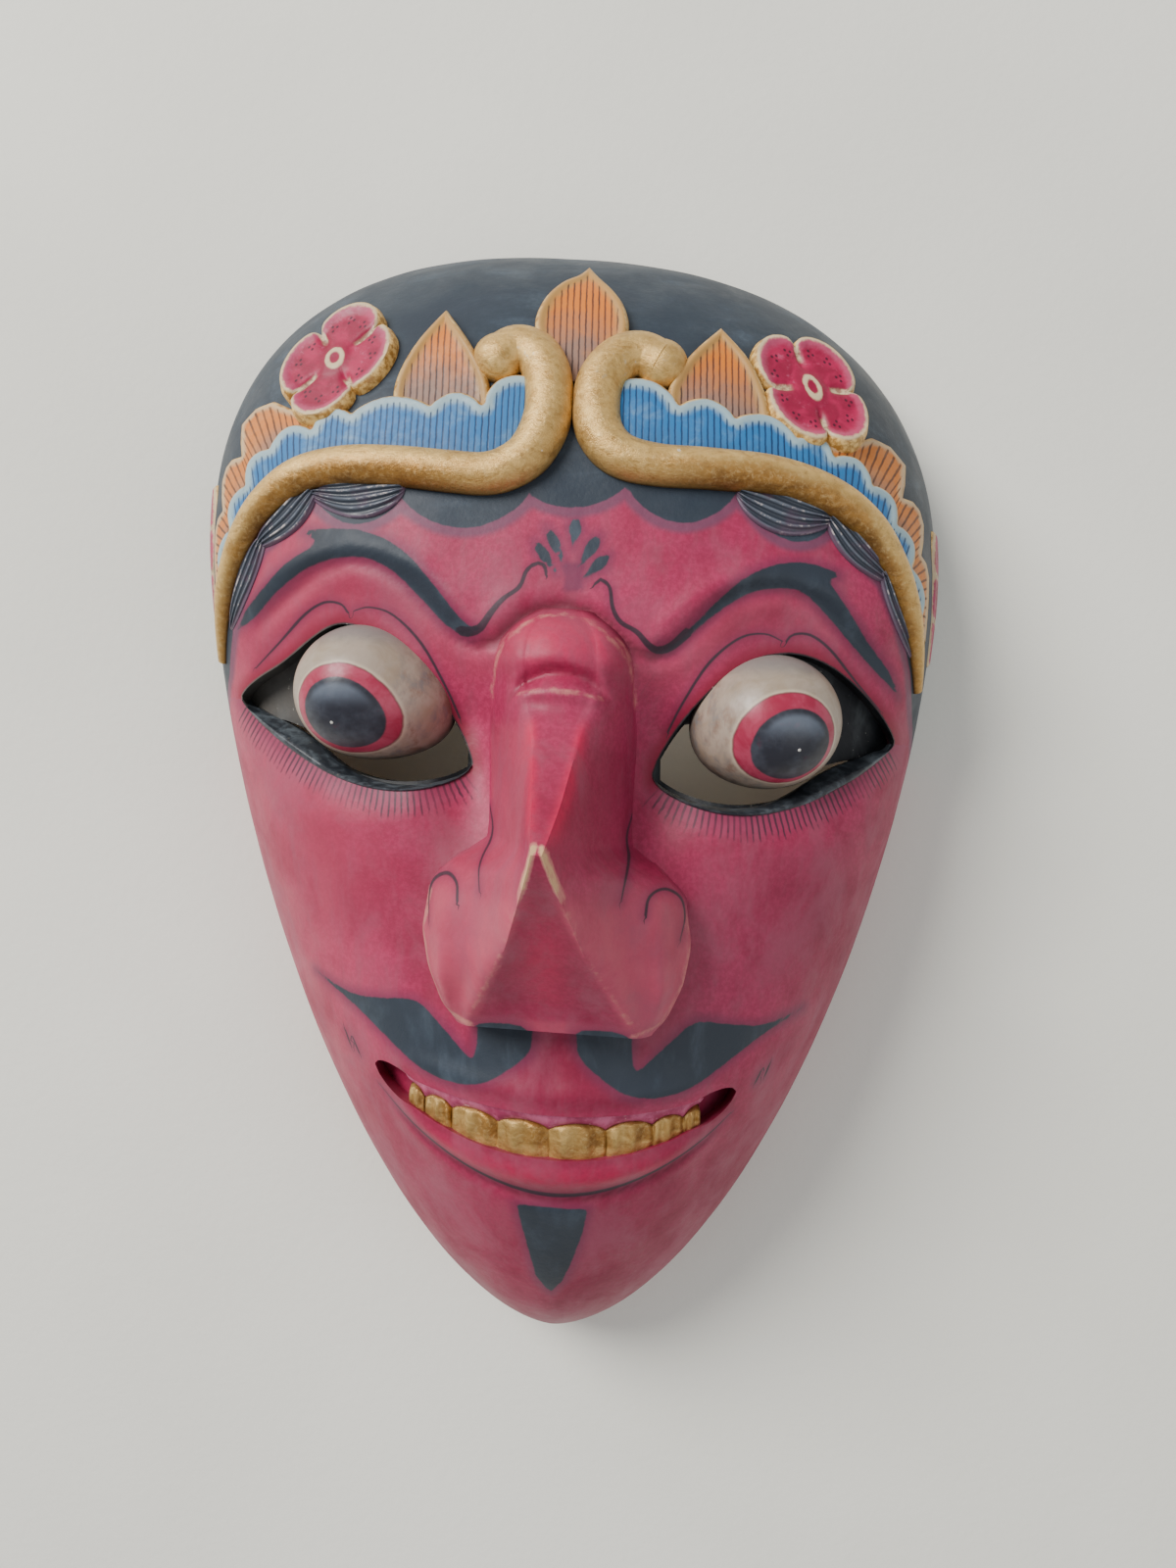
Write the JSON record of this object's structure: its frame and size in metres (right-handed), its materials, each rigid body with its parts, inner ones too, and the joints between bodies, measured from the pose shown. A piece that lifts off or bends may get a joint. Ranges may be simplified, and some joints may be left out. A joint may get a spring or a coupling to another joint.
{
  "type": "topeng mask",
  "caption": "Carved and painted wooden theatre mask with bulging eyes, a long blade nose, an open smile and a gilded brow band, hollow at the back.",
  "frame": {"origin": "centre of the mask's box on the flat back rim that it lies on", "axes": "+Z out of the face, +Y to the top of the head, +X to the viewer's right"},
  "size_m": [0.14, 0.2062, 0.088],
  "materials": {
    "painted_wood": "satin rose paint with slate, gold and blue details, worn to pale wood on the ridges",
    "gilding": "dull gold paint on carved wood, rubbed on the crests"
  },
  "bodies": {
    "root": {"carved_mask": "painted_wood"}
  },
  "joints": []
}
